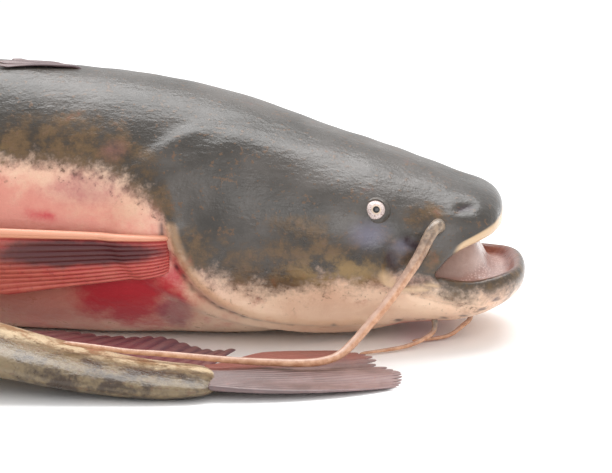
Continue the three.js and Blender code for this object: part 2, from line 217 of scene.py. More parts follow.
# distance, half width of the outline, lip line or widest line, crown
UPPER = (
    (0, 0, 53.4, 54), (0.5, 11, 53.2, 58.4), (1.5, 20, 53, 61.4), (4, 30, 52.4, 64.8),
    (10, 38, 50.8, 68.3), (20, 44, 46.8, 71.6), (26, 47.2, 41.6, 74.1), (31, 49.5, 35.5, 76.2),
    (45, 53, 38.5, 81), (62, 56.4, 42, 86.8),
)
# distance, half width of the outline, lip line or widest line, underside
LOWER = (
    (-11, 0, 30.5, 30), (-10.6, 9, 30.5, 26.4), (-9.4, 19, 30.4, 22.4), (-5, 29, 30, 17.6),
    (2, 36.5, 29, 13.5), (12, 43, 28.3, 9.6), (24, 47.5, 30.6, 7), (31, 49.5, 35.5, 6),
    (45, 53, 38.5, 5.2), (62, 56.4, 42, 3.7),
)
CORNER_AT = 31


def lip_line(jaw):
    """The lip's outline from the corner of the mouth round to the front, evenly spaced."""
    front = jaw[0][0]
    walk = []
    for i in range(201):
        s = front + (CORNER_AT - front) * (1 - i / 200) ** 2
        walk.append((s, max(0, along(jaw, 1, s))))
    lengths = [0]
    for a, b in zip(walk, walk[1:]):
        lengths.append(lengths[-1] + math.dist(a, b))

    def at(share):
        wanted = share * lengths[-1]
        i = next((k for k in range(200) if lengths[k + 1] >= wanted), 199)
        x = (wanted - lengths[i]) / max(1e-9, lengths[i + 1] - lengths[i])
        return tuple(a + (b - a) * x for a, b in zip(walk[i], walk[i + 1]))

    return at


upper_lip = lip_line(UPPER)
lower_lip = lip_line(LOWER)


def head_place(s, across, height):
    centre, _, _, side, _ = section(s)
    point = centre + side * across
    point.z = height
    return point


def over_head(angle, forward):
    """Point of the head in front of the neck; forward 0 is the neck, 1 the lip."""
    top = angle >= 0
    jaw, lip = (UPPER, upper_lip) if top else (LOWER, lower_lip)
    share = 1 - abs(90 - abs(angle)) / 90
    lip_s, lip_u = lip(share)
    sign = 1 if abs(angle) <= 90 else -1
    start = skin(NECK, angle)
    centre, _, _, side, _ = section(NECK)
    start_u = (start - centre).dot(side)
    s = NECK + (lip_s - NECK) * forward
    across = start_u + (sign * lip_u - start_u) * forward
    base, peak = along(jaw, 2, s), along(jaw, 3, s)
    roundness = 2.2 if top else 2.35
    edge = max(1e-6, along(jaw, 1, s))
    lift = max(0, 1 - min(1, abs(across) / edge) ** roundness) ** (1 / roundness)
    plain = head_place(s, across, base + (peak - base) * lift)
    neck = start - head_place(NECK, start_u, along(jaw, 2, NECK) + (along(jaw, 3, NECK)
           - along(jaw, 2, NECK)) * max(0, 1 - min(1, abs(start_u) / along(jaw, 1, NECK))
           ** roundness) ** (1 / roundness))
    return plain + neck * (1 - smooth(0, 0.35, forward)), s


LIP_ROLL = ((0.8, 1.5), (2.0, 2.5), (3.6, 2.6), (5.2, 1.2), (6.2, -1.2))
THROAT_AT = 88


def tongue(s, across):
    return math.exp(-((across / 25) ** 4)) * smooth(0, 15, s) * (1 - smooth(54, 84, s))


def in_mouth(angle, ring):
    """Lip roll for ring 0 to 4, then the lining of the mouth back to the throat."""
    top = angle >= 0
    lip = upper_lip if top else lower_lip
    jaw = UPPER if top else LOWER
    sign = 1 if abs(angle) <= 90 else -1
    lip_s, lip_u = lip(1 - abs(90 - abs(angle)) / 90)
    inward = Vector((38 - lip_s, -sign * lip_u)).normalized()
    open_share = smooth(0, 16, min(abs(angle), 180 - abs(angle)))
    way = -1 if top else 1
    base = along(jaw, 2, lip_s)
    fat = 0.85 if top else 1.15
    step, rise = LIP_ROLL[min(ring, 4)]
    s = lip_s + inward.x * step * fat
    across = sign * lip_u + inward.y * step * fat
    z = base + way * rise * fat * open_share
    if ring <= 4:
        return head_place(s, across, z), s
    q = (ring - 4) / 14
    deep_s = s + (THROAT_AT - s) * q ** 1.15
    deep_u = across * (1 - q ** 1.6) + 7 * math.cos(math.radians(angle)) * q ** 1.6
    span = max(1, 41 - 26 * smooth(40, THROAT_AT, deep_s))
    dome = math.sqrt(max(0, 1 - min(1, abs(deep_u) / span) ** 2))
    tall = (17.5 if top else 17) * (1 - 0.75 * smooth(45, THROAT_AT, deep_s))
    if not top:
        dome -= 1.7 * tongue(deep_s, deep_u)
    cavity = 36.5 - way * tall * dome
    z += (cavity - z) * smooth(0, 0.26, q)
    return head_place(deep_s, deep_u, z), deep_s


def nearest(line, s, z):
    """Signed distance to a line on the flank, plus in front of it, and the share along it."""
    best = (1e9, 0, 0)
    for i, (a, b) in enumerate(zip(line, line[1:])):
        run, rise = b[0] - a[0], b[1] - a[1]
        x = min(1, max(0, ((s - a[0]) * run + (z - a[1]) * rise) / (run * run + rise * rise)))
        off_s, off_z = s - a[0] - x * run, z - a[1] - x * rise
        d = math.hypot(off_s, off_z)
        if d < best[0]:
            best = (d, run * off_z - rise * off_s, (i + x) / (len(line) - 1))
    return math.copysign(best[0], best[1]), best[2]


# lines on the flank of the head: distance from the snout, height
GILL_EDGE = ((112, 97), (122, 95), (133, 90), (144, 83), (155, 75), (163, 66), (166, 58), (163, 51))
GILL_FOLD = ((146, 63), (145, 56), (143, 49), (139, 40), (132, 30), (123, 22), (111, 16), (98, 12.5),
             (80, 10), (56, 9))
MOUTH_FOLD = ((54, 41), (50, 35), (43, 31.5), (35, 32), (29, 34))
JAW_CREASE = ((46, 30), (36, 25), (26, 21.5), (14, 19))
SLIT_BEHIND = ((50, 47), (47, 45), (45, 42))
SLIT_ABOVE = ((42, 51), (38, 49), (35, 46))
NOSTRIL = ((20.5, 62), (17, 63), (14.5, 62.5))
PORES = ((74, 12), (59, 12), (46, 11.5), (36, 11.5), (26, 12.5), (17, 14), (9, 17.5), (3, 22))


def band(distance, width):
    return math.exp(-((distance / width) ** 2))


def relief(s, z, angle, inside):
    """How far the real skin stands off the plain one, in mm."""
    if inside > 0.9:
        return 0.5 * noise.noise(Vector((s, z, angle * 0.3)) * 0.12)
    place = Vector((s, z, 20 * math.cos(math.radians(angle)))) * 0.03
    lift = 0.55 * noise.noise(place) + 0.3 * noise.noise(place * 3.1)
    if s > 190:
        return lift
    if 100 < s < 185 and z > 44:
        d, share = nearest(GILL_EDGE, s, z)
        fade = smooth(0, 0.25, share) * (1 - 0.6 * smooth(0.85, 1, share))
        lift += fade * (0.5 * band(d + 6, 6) - 0.9 * band(d - 1.5, 3))
    if 40 < s < 165 and z < 72:
        d, share = nearest(GILL_FOLD, s, z)
        fade = smooth(0, 0.12, share) * (1 - 0.7 * smooth(0.7, 1, share))
        lift += fade * (3.2 * band(d + 3.4, 3.8) - 3.6 * band(d - 1.4, 2.3))
    if s < 70:
        d, share = nearest(MOUTH_FOLD, s, z)
        lift += 1.6 * band(d - 3, 2.4) - 2.4 * band(d, 1.6)
        lift -= 1.1 * band(nearest(JAW_CREASE, s, z)[0], 1.6)
        lift -= 2.0 * band(nearest(SLIT_BEHIND, s, z)[0], 1.3)
        lift -= 2.4 * band(nearest(SLIT_ABOVE, s, z)[0], 1.4)
        lift -= 1.6 * band(nearest(NOSTRIL, s, z)[0], 1.1)
        lift += 0.5 * band(math.hypot(s - 24, z - 60), 3)
        lift -= 0.5 * band(math.hypot(s - 40, z - 75), 7)
        lift -= 1.2 * band(math.hypot(s - EYE_AT, z - 54), 5)
    for pore_s, pore_z in PORES:
        if abs(s - pore_s) < 4:
            lift -= 0.7 * band(math.hypot(s - pore_s, z - pore_z), 1.0)
    return lift


# height at which the dark back gives way to the pale underside
PALE_LINE = ((-12, 25), (20, 24), (34, 29), (50, 33), (80, 33), (93, 29), (116, 33), (128, 36),
             (139, 42), (146, 62), (158, 72), (176, 80), (200, 82), (232, 81), (300, 70), (360, 58))


def patch(s, z, at_s, at_z, long, tall):
    """1 in the middle of an oval patch of skin, 0 outside it."""
    return 1 - smooth(0.15, 1.15, math.hypot((s - at_s) / long, (z - at_z) / tall))


# patches of colour on the flank: strength, distance from the snout, height, half length, half height
OLIVE_PATCHES = ((1, 152, 52, 17, 20), (0.9, 84, 46, 46, 17), (1, 212, 88, 45, 9), (1, 36, 60, 16, 9),
                 (1, 86, 58, 26, 9))
BLOOD_PATCHES = ((1, 163, 28, 36, 25), (0.8, 143, 34, 14, 18), (0.9, 205, 36, 22, 7),
                 (0.7, 196, 60, 9, 5), (0.55, 150, 12, 36, 12), (0.8, 36, 7, 22, 6))
BRUISE_PATCHES = ((1, 143, 17, 12, 14), (0.6, 180, 72, 34, 13), (0.5, 168, 88, 12, 8))
YELLOW_PATCHES = ((1, 232, 83, 22, 8), (0.6, 70, 38, 30, 8))
PINK_PATCH = (215, 40, 120, 58)
LILAC_PATCHES = ((1, 58, 54, 11, 7), (0.9, 44, 49, 7, 4))
BAND_DEEP, BAND_ABOVE = 15, 9
TAIL_FROM, TAIL_TO = 330, 430


def strongest(patches, s, z):
    return max(strength * patch(s, z, *oval) for strength, *oval in patches)


def colour_marks(s, z, level):
    """How dark, olive, blood-red, bruised and yellow the skin is at a place."""
    low = along(PALE_LINE, 1, s)
    tail = smooth(TAIL_FROM, TAIL_TO, s)
    dark_trunk = (z - low) / 26
    dark_tail = (level - 0.12) / 0.9
    dark = min(1, max(0, 0.5 + dark_trunk * (1 - tail) + dark_tail * tail))
    near_edge = band((z - low - BAND_ABOVE) / BAND_DEEP, 1) if s < TAIL_FROM else 0
    olive = max(near_edge * (1 - smooth(300, 340, s)), strongest(OLIVE_PATCHES, s, z),
                tail * band((level - 0.3) / 0.35, 1))
    return (dark, min(1, olive), strongest(BLOOD_PATCHES, s, z), strongest(BRUISE_PATCHES, s, z),
            strongest(YELLOW_PATCHES, s, z))


body_shape = bmesh.new()
marks = {name: body_shape.verts.layers.float.new(name)
         for name in ("dark", "olive", "red", "bruise", "yellow", "mouth", "tongue", "teeth",
                      "painted_throat_shade", "tail", "level", "rim", "painted_crease_shade", "pink", "lip",
                      "cheek", "lilac")}


def next_ring(shape, ring):
    """Draws a new loop of skin out of the last one and returns it in the same order."""
    edges = [shape.edges.get((a, b)) for a, b in zip(ring, ring[1:] + ring[:1])]
    drawn = bmesh.ops.extrude_edge_only(shape, edges=edges)["geom"]
    fresh = {v for v in drawn if isinstance(v, bmesh.types.BMVert)}
    return [next(e.other_vert(v) for e in v.link_edges if e.other_vert(v) in fresh)
            for v in ring]


angles = [-180 + 360 * (k + 0.5) / AROUND for k in range(AROUND)]
first = bmesh.ops.create_circle(body_shape, cap_ends=True, radius=1, segments=AROUND)["verts"]
ring = list(first)
stations = []
s = LENGTH
while s > NECK + 0.5:
    stations.append(s)
    s -= 3 if s <= 203 else (4.5 if s <= 330 else (6 if s <= 620 else 5))
stations.append(NECK)
places = {}
for index, s in enumerate(stations):
    if index:
        ring = next_ring(body_shape, ring)
    centre, right, back, _, _ = section(s)
    depth = along(BODY, DEPTH, s)
    for v, angle in zip(ring, angles):
        point = skin(s, angle)
        level = (point - centre).dot(back) / (depth / 2)
        if index < 2:
            point = centre.lerp(point, (0.5, 0.92)[index])
        point.z = max(0.0, point.z)
        v.co = point
        places[v] = (s, point.z, level, angle, 0)
HEAD_RINGS = 26
for i in range(1, HEAD_RINGS + 1):
    ring = next_ring(body_shape, ring)
    forward = 1 - (1 - i / HEAD_RINGS) ** 1.7
    for v, angle in zip(ring, angles):
        v.co, s = over_head(angle, forward)
        places[v] = (s, v.co.z, 0, angle, 0)
        v[marks["lip"]] = smooth(0.990, 1.0, forward) * smooth(5, 25, min(angle, 180 - angle))
for i in range(19):
    ring = next_ring(body_shape, ring)
    for v, angle in zip(ring, angles):
        v.co, s = in_mouth(angle, i)
        places[v] = (s, v.co.z, 0, angle, min(1, (i + 1) / 5))
        centre, _, _, side, _ = section(s)
        across = (v.co - centre).dot(side)
        front = math.sin(math.radians(abs(angle)))
        v[marks["teeth"]] = band(i - 5.6, 1.5) * smooth(0.25, 0.5, front)
        v[marks["tongue"]] = tongue(s, across) if angle < 0 and i > 6 else 0
        # Painted shade: the lining darkens from the middle of the mouth back to the throat.
        v[marks["painted_throat_shade"]] = smooth(40, 80, s) if i > 5 else 0
        v[marks["lip"]] = band(i - 0.5, 2) * smooth(5, 25, min(angle, 180 - angle))
        v[marks["cheek"]] = smooth(0, 20, min(angle, 180 - angle)) * (1 - smooth(14, 52, s)) * (i > 3)
bmesh.ops.edgeloop_fill(
    body_shape, edges=[body_shape.edges.get((a, b)) for a, b in zip(ring, ring[1:] + ring[:1])])
bmesh.ops.recalc_face_normals(body_shape, faces=body_shape.faces)
body_shape.normal_update()
for v, (s, z, level, angle, inside) in places.items():
    v[marks["dark"]], v[marks["olive"]], v[marks["red"]], v[marks["bruise"]], v[marks["yellow"]] = \
        colour_marks(s, z, level)
    v[marks["mouth"]] = inside
    v[marks["tail"]] = smooth(TAIL_FROM, TAIL_TO, s)
    v[marks["level"]] = level
    in_front = 0 if s > 185 else nearest(GILL_FOLD, s, z)[0]
    v[marks["rim"]] = band(in_front + 3.4, 3.2) if 60 < s < 165 and z < 62 and not inside else 0
for v, (s, z, level, angle, inside) in places.items():
    if inside or s > 190:
        v[marks["pink"]] = patch(s, z, *PINK_PATCH) if not inside else 0
        continue
    v[marks["pink"]] = max(patch(s, z, *PINK_PATCH), 0.5 * patch(s, z, 40, 34, 30, 8))
    # Painted shade: this mark darkens the gap under the gill fold, the slits behind and above the eye, the
    # nostril, the jaw and mouth folds and the pores, where shade falls.
    painted_crease_shade = 0.8 * band(nearest(GILL_FOLD, s, z)[0] - 1.2, 1.5) if 90 < s < 165 and z < 62 else 0
    if s < 70:
        if 27 < s < 58:
            fold = nearest(MOUTH_FOLD, s, z)[0]
            v[marks["lip"]] = max(v[marks["lip"]], 0.7 * band(fold - 2, 2.2))
        for line, wide_by in ((SLIT_BEHIND, 1.6), (SLIT_ABOVE, 1.8), (NOSTRIL, 1.2), (JAW_CREASE, 1.0),
                              (MOUTH_FOLD, 1.2)):
            strength = 0.4 if line in (JAW_CREASE, MOUTH_FOLD) else 1
            painted_crease_shade = max(painted_crease_shade, strength * band(nearest(line, s, z)[0], wide_by))
    for pore_s, pore_z in PORES:
        painted_crease_shade = max(painted_crease_shade, band(math.hypot((s - pore_s) / 1.5, z - pore_z), 1.5))
    v[marks["lilac"]] = strongest(LILAC_PATCHES, s, z)
    v[marks["painted_crease_shade"]] = painted_crease_shade
moves = {v: v.normal * relief(s, z, angle, inside)
         for v, (s, z, level, angle, inside) in places.items()}
for v, move in moves.items():
    v.co += move
    v.co.z = max(0.0, v.co.z)
    v.co *= 0.001
body_mesh = bpy.data.meshes.new("skin")
body_shape.to_mesh(body_mesh)
body_shape.free()
body_mesh.polygons.foreach_set("use_smooth", [True] * len(body_mesh.polygons))
body = bpy.data.objects.new("skin", body_mesh)
bpy.context.scene.collection.objects.link(body)
finer = body.modifiers.new("finer", "SUBSURF")
finer.levels = finer.render_levels = 1


class Tone:
    """One socket of a finish, with arithmetic."""

    def __init__(self, finish, socket):
        self.finish, self.socket = finish, socket

    def _math(self, kind, a, b):
        return self.finish.node("ShaderNodeMath", {"operation": kind}, {0: a, 1: b})["Value"]

    def __add__(self, other): return self._math("ADD", self, other)
    def __radd__(self, other): return self._math("ADD", other, self)
    def __sub__(self, other): return self._math("SUBTRACT", self, other)
    def __rsub__(self, other): return self._math("SUBTRACT", other, self)
    def __mul__(self, other): return self._math("MULTIPLY", self, other)
    def __rmul__(self, other): return self._math("MULTIPLY", other, self)
    def __truediv__(self, other): return self._math("DIVIDE", self, other)
    def __pow__(self, other): return self._math("POWER", self, other)

    def above(self, low, high):
        """0 below low, 1 above high, smooth between; low may be the larger."""
        start, end, swap = (low, high, False) if low < high else (high, low, True)
        return self.finish.node(
            "ShaderNodeMapRange", {"interpolation_type": "SMOOTHSTEP"},
            {"Value": self, "From Min": start, "From Max": end,
             "To Min": 1.0 if swap else 0.0, "To Max": 0.0 if swap else 1.0})["Result"]


class Made:
    """A node just made; its outputs are read by name."""

    def __init__(self, finish, node):
        self.finish, self.made = finish, node

    def __getitem__(self, name):
        return Tone(self.finish, self.made.outputs[name])


class Finish:
    """A material put together from nodes."""

    def __init__(self, name):
        self.material = bpy.data.materials.new(name)
        self.material.use_nodes = True
        self.tree = self.material.node_tree
        self.surface = self.tree.nodes["Principled BSDF"]

    def node(self, kind, settings, inputs):
        made = self.tree.nodes.new(kind)
        for name, value in settings.items():
            setattr(made, name, value)
        for name, value in inputs.items():
            self.join(made.inputs[name], value)
        return Made(self, made)

    def join(self, socket, value):
        if isinstance(value, Tone):
            self.tree.links.new(value.socket, socket)
        elif isinstance(value, tuple) and len(value) == 3 and socket.type == "RGBA":
            socket.default_value = (*value, 1)
        else:
            socket.default_value = value

    def set(self, **sockets):
        for name, value in sockets.items():
            self.join(self.surface.inputs[name.replace("_", " ")], value)

    def place(self, stretch=(1, 1, 1)):
        here = self.node("ShaderNodeTexCoord", {}, {})["Object"]
        return self.node("ShaderNodeMapping", {}, {"Vector": here, "Scale": stretch})["Vector"]

    def mark(self, name):
        return self.node("ShaderNodeAttribute", {"attribute_name": name}, {})["Fac"]

    def grain(self, scale, detail=2.0, rough=0.5, stretch=(1, 1, 1)):
        return self.node("ShaderNodeTexNoise", {}, {"Vector": self.place(stretch), "Scale": scale,
                         "Detail": detail, "Roughness": rough})["Fac"]

    def cells(self, scale, stretch=(1, 1, 1)):
        return self.node("ShaderNodeTexVoronoi", {}, {"Vector": self.place(stretch),
                         "Scale": scale})["Distance"]

    def mix(self, share, under, over):
        made = self.node("ShaderNodeMix", {"data_type": "RGBA"}, {})
        for socket, value in ((made.made.inputs[0], share), (made.made.inputs[6], under),
                              (made.made.inputs[7], over)):
            self.join(socket, value)
        return Tone(self, made.made.outputs[2])

    def bump(self, height, distance, strength=1.0):
        return self.node("ShaderNodeBump", {}, {"Height": height, "Distance": distance,
                         "Strength": strength})["Normal"]


wet_skin = Finish("wet skin")
wide = wet_skin.grain(26, 4, 0.6)
blotch = wet_skin.grain(95, 6, 0.7)
speck = wet_skin.grain(480, 3, 0.6)
streak = wet_skin.grain(60, 5, 0.7, (0.35, 1, 1.6))
back_grey = wet_skin.mix(wide.above(0.35, 0.68), (0.034, 0.029, 0.024), (0.088, 0.076, 0.068))
back_grey = wet_skin.mix(streak.above(0.48, 0.75) * 0.5, back_grey, (0.022, 0.016, 0.010))
olive_brown = wet_skin.mix(blotch.above(0.36, 0.64), (0.022, 0.012, 0.004), (0.115, 0.064, 0.024))
upper = wet_skin.mix((wet_skin.mark("olive") * 0.75 + (blotch - 0.5) * 1.3).above(0.3, 0.85),
                     back_grey, olive_brown)
tail_back = wet_skin.mix((blotch + (wide - 0.5) * 0.6).above(0.4, 0.62), (0.042, 0.024, 0.013),
                         (0.175, 0.125, 0.066))
upper = wet_skin.mix(wet_skin.mark("tail"), upper, tail_back)
upper = wet_skin.mix(speck.above(0.56, 0.7) * 0.4, upper, (0.022, 0.018, 0.014))
cream = wet_skin.mix(wide.above(0.3, 0.7), (0.66, 0.41, 0.28), (0.80, 0.58, 0.42))
cream = wet_skin.mix(blotch.above(0.55, 0.74) * 0.4, cream, (0.56, 0.28, 0.18))
tail_cream = wet_skin.mix(blotch.above(0.45, 0.6), (0.62, 0.50, 0.33), (0.30, 0.19, 0.10))
cream = wet_skin.mix(wet_skin.mark("tail"), cream, tail_cream)
flush = wet_skin.mark("pink") + (blotch - 0.5) * 1.1 + (wide - 0.5) * 0.8
cream = wet_skin.mix(flush.above(0.1, 0.9) * 0.9, cream, (0.62, 0.215, 0.17))
edge = wet_skin.mark("dark") + (blotch - 0.5) * 1.0 + (speck - 0.5) * 0.3
skin_colour = wet_skin.mix(edge.above(0.22, 0.74), cream, upper)
faint = (speck + (blotch - 0.5) * 0.5).above(0.60, 0.68) * (wet_skin.mark("dark").above(0.02, 0.4))
skin_colour = wet_skin.mix(faint * 0.7, skin_colour, (0.13, 0.07, 0.035))
skin_colour = wet_skin.mix(wet_skin.mark("yellow") * blotch.above(0.4, 0.6) * 0.8, skin_colour,
                           (0.40, 0.26, 0.09))
blood = wet_skin.mark("red") + (blotch - 0.5) * 1.3 + (wide - 0.5) * 1.0
skin_colour = wet_skin.mix(blood.above(0.2, 1.0) * 0.95, skin_colour, (0.50, 0.022, 0.040))
sore = wet_skin.mark("bruise") + (blotch - 0.5) * 0.6
skin_colour = wet_skin.mix(sore.above(0.2, 0.95) * 0.6, skin_colour, (0.24, 0.08, 0.11))
skin_colour = wet_skin.mix(wet_skin.mark("rim").above(0.3, 0.9) * 0.45, skin_colour,
                           (0.60, 0.36, 0.20))
skin_colour = wet_skin.mix(wet_skin.mark("lilac") * (0.2 + 0.4 * wide), skin_colour,
                           (0.25, 0.24, 0.34))
# Painted shade in the creases, slits, nostrils and pores: the skin turns near black there.
skin_colour = wet_skin.mix(wet_skin.mark("painted_crease_shade").above(0.2, 0.85) * 0.85, skin_colour,
                           (0.034, 0.020, 0.026))
lining = wet_skin.mix(blotch.above(0.35, 0.65), (0.24, 0.075, 0.055), (0.38, 0.16, 0.115))
lining = wet_skin.mix(wet_skin.mark("tongue").above(0.04, 0.3),
                      lining, wet_skin.mix(blotch.above(0.35, 0.7), (0.60, 0.45, 0.40), (0.50, 0.34, 0.29)))
lining = wet_skin.mix(wet_skin.mark("cheek").above(0.1, 0.8), lining, (0.64, 0.37, 0.18))
tooth = wet_skin.cells(900).above(0.42, 0.28)
lining = wet_skin.mix(wet_skin.mark("teeth").above(0.3, 0.8) * (0.45 + 0.55 * tooth), lining,
                      (0.74, 0.55, 0.50))
# Painted shade deep in the mouth: the lining fades to near black towards the throat.
lining = wet_skin.mix(wet_skin.mark("painted_throat_shade"), lining, (0.10, 0.03, 0.025))
skin_colour = wet_skin.mix(wet_skin.mark("mouth").above(0.25, 0.9), skin_colour, lining)
skin_colour = wet_skin.mix(wet_skin.mark("lip").above(0.3, 0.8) * 0.85, skin_colour,
                           (0.68, 0.47, 0.28))
wrinkle = wet_skin.grain(150, 4, 0.62, (0.5, 1, 1.8))
slime = wet_skin.grain(14, 2, 0.5)
wet_skin.set(
    Base_Color=skin_colour,
    Roughness=0.15 + 0.32 * blotch,
    Coat_Weight=slime.above(0.4, 0.7) * 0.22,
    Coat_Roughness=0.16,
    Specular_IOR_Level=0.5,
    Normal=wet_skin.bump(wrinkle * 0.5 + blotch * 0.2 + speck * 0.3, 0.0011, 0.75),
)
body_mesh.materials.append(wet_skin.material)
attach(body, "root")
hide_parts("body")

# ---- Eyes -----------------------------------------------------------------------------
# Small round eyes set high on the head: a pinkish white iris with dark flecks, a tiny
# black pupil and a wet clear cover, each held in a soft ring of skin.
eye_white = Finish("eye")
gaze = eye_white.mark("gaze")
flecks = eye_white.grain(1500, 3, 0.6)
iris = eye_white.mix(flecks.above(0.50, 0.62) * 0.75, (0.64, 0.53, 0.50), (0.20, 0.10, 0.08))
iris = eye_white.mix((gaze + (flecks - 0.5) * 0.12).above(0.56, 0.72) * 0.75, iris, (0.30, 0.24, 0.20))
iris = eye_white.mix(gaze.above(0.30, 0.25), iris, (0.60, 0.47, 0.36))
iris = eye_white.mix(gaze.above(0.20, 0.18), iris, (0.004, 0.004, 0.005))
eye_white.set(Base_Color=iris, Roughness=0.10, Coat_Weight=0.3, Coat_Roughness=0.03)


def shaped(name, shape, finish, node, steps=0):
    """Puts a finished shape, drawn in millimetres, on the fish."""
    for v in shape.verts:
        v.co *= 0.001
    mesh = bpy.data.meshes.new(name)
    shape.to_mesh(mesh)
    shape.free()
    mesh.polygons.foreach_set("use_smooth", [True] * len(mesh.polygons))
    mesh.materials.append(finish.material)
    piece = bpy.data.objects.new(name, mesh)
    bpy.context.scene.collection.objects.link(piece)
    if steps:
        rounding = piece.modifiers.new("finer", "SUBSURF")
        rounding.levels = rounding.render_levels = steps
    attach(piece, "root")
    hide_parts(node)
    return piece


for side_name, eye_angle in (("right", EYE_ANGLE), ("left", 180 - EYE_ANGLE)):
    centre = skin(EYE_AT, eye_angle, EYE_BULGE - EYE_RADIUS)
    outward = (skin(EYE_AT, eye_angle, 3) - skin(EYE_AT, eye_angle)).normalized()
    look = (outward + Vector((0.12, 0, -0.10))).normalized()
    eye_shape = bmesh.new()
    bmesh.ops.create_uvsphere(eye_shape, u_segments=40, v_segments=24, radius=EYE_RADIUS)
    gaze_mark = eye_shape.verts.layers.float.new("gaze")
    for v in eye_shape.verts:
        v[gaze_mark] = v.co.normalized().angle(look) / 1.57
        v.co += centre
    shaped("eyeball_" + side_name, eye_shape, eye_white, "eye_" + side_name)

    lid_shape = bmesh.new()
    profile = ((4.2, 2.9), (4.5, 3.3), (4.9, 3.3), (5.4, 2.8), (6.1, 1.9), (6.9, 0.8), (6.0, 0.3),
               (5.2, 1.0))
    upright = outward.cross(Vector((0, 0, 1))).normalized()
    corners = [lid_shape.verts.new(centre + upright * out + outward * rise)
               for out, rise in profile]
    rim_edges = [lid_shape.edges.new((a, b)) for a, b in zip(corners, corners[1:] + corners[:1])]
    bmesh.ops.spin(lid_shape, geom=corners + rim_edges, cent=centre, axis=outward,
                   angle=math.radians(360), steps=40, use_merge=True, use_duplicate=False)
    bmesh.ops.remove_doubles(lid_shape, verts=lid_shape.verts, dist=0.01)
    bmesh.ops.recalc_face_normals(lid_shape, faces=lid_shape.faces)
    for name, value in (("dark", 1.0), ("olive", 0.6)):
        layer = lid_shape.verts.layers.float.new(name)
        for v in lid_shape.verts:
            v[layer] = value
    shaped("eyelid_" + side_name, lid_shape, wet_skin, "body", 1)


# ---- Barbels --------------------------------------------------------------------------
# Two long fleshy feelers hang from the upper jaw and four short ones from the chin: soft
# round cords of skin, grey olive at the root and orange pink towards the tip.
feeler_skin = Finish("barbel skin")
outward_share = feeler_skin.mark("reach")
mottle = feeler_skin.grain(330, 4, 0.6)
fine = feeler_skin.grain(1100, 2, 0.5)
flesh = feeler_skin.mix(mottle.above(0.35, 0.65), (0.47, 0.22, 0.115), (0.64, 0.36, 0.22))
# Painted highlight: the upper side of each barbel is paled to greyish pink, a sheen of the light from
# above.
flesh = feeler_skin.mix(feeler_skin.mark("painted_top_sheen").above(0.35, 0.9) * (0.35 + 0.4 * mottle), flesh,
                        (0.50, 0.37, 0.32))
rooty = feeler_skin.mix(mottle.above(0.4, 0.6), (0.13, 0.10, 0.075), (0.27, 0.20, 0.14))
flesh = feeler_skin.mix((outward_share + (mottle - 0.5) * 0.08).above(0.0, 0.24), rooty, flesh)
flesh = feeler_skin.mix(fine.above(0.6, 0.75) * 0.25, flesh, (0.35, 0.14, 0.09))
feeler_skin.set(Base_Color=flesh, Roughness=0.28 + 0.16 * mottle, Coat_Weight=0.2,
                Coat_Roughness=0.1, Normal=feeler_skin.bump(mottle * 0.6 + fine * 0.4, 0.0004, 0.6))


def through(points, share):
    """Point at a share of the way along a smooth line through the points."""
    x = share * (len(points) - 1)
    i = min(len(points) - 2, int(x))
    a, b, c, d = (points[max(0, i - 1)], points[i], points[i + 1],
                  points[min(len(points) - 1, i + 2)])
    x -= i
    return 0.5 * (2 * b + (c - a) * x + (2 * a - 5 * b + 4 * c - d) * x * x
                  + (3 * b - a - 3 * c + d) * x ** 3)


def evenly(points, count):
    """The smooth line through the points as evenly spaced places."""
    fine_line = [through(points, i / 600) for i in range(601)]
    lengths = [0]
    for a, b in zip(fine_line, fine_line[1:]):
        lengths.append(lengths[-1] + (b - a).length)
    places = []
    k = 0
    for i in range(count + 1):
        wanted = lengths[-1] * i / count
        while k < 599 and lengths[k + 1] < wanted:
            k += 1
        x = (wanted - lengths[k]) / max(1e-9, lengths[k + 1] - lengths[k])
        places.append(fine_line[k].lerp(fine_line[k + 1], x))
    return places


def barbel(name, node, points, thick, thin, rings, around=14):
    shape = bmesh.new()
    reach = shape.verts.layers.float.new("reach")
    # The second layer marks the upper side of the cord for a painted sheen.
    painted_top_sheen = shape.verts.layers.float.new("painted_top_sheen")
    line = evenly(points, rings)
    loop = list(bmesh.ops.create_circle(shape, cap_ends=True, radius=1, segments=around)["verts"])
    for i, centre in enumerate(line):
        if i:
            loop = next_ring(shape, loop)
        ahead = (line[min(rings, i + 1)] - line[max(0, i - 1)]).normalized()
        level = ahead.cross(Vector((0, 0, 1)))
        level = level.normalized() if level.length > 0.05 else Vector((1, 0, 0))
        upward = level.cross(ahead)
        share = i / rings
        radius = thick + (thin - thick) * share ** 0.75
        radius *= 1 + 0.12 * (1 - smooth(0, 0.1, share))
        radius *= 1 + 0.07 * noise.noise(Vector((i * 0.23, thick, 0)))
        radius *= math.sqrt(max(0.02, 1 - max(0, (share - 0.985) / 0.015) ** 2))
        for k, v in enumerate(loop):
            turn = 2 * math.pi * k / around
            v.co = centre + (level * math.cos(turn) + upward * math.sin(turn)) * radius
            v[reach] = share
            # Strength of the painted sheen, highest on the upper side.
            v[painted_top_sheen] = max(0, math.sin(turn))
    bmesh.ops.edgeloop_fill(
        shape, edges=[shape.edges.get((a, b)) for a, b in zip(loop, loop[1:] + loop[:1])])
    bmesh.ops.recalc_face_normals(shape, faces=shape.faces)
    return shaped(name, shape, feeler_skin, node, 1)


def here(x, y, z):
    return Vector((x, y, z)) + GIRDLE


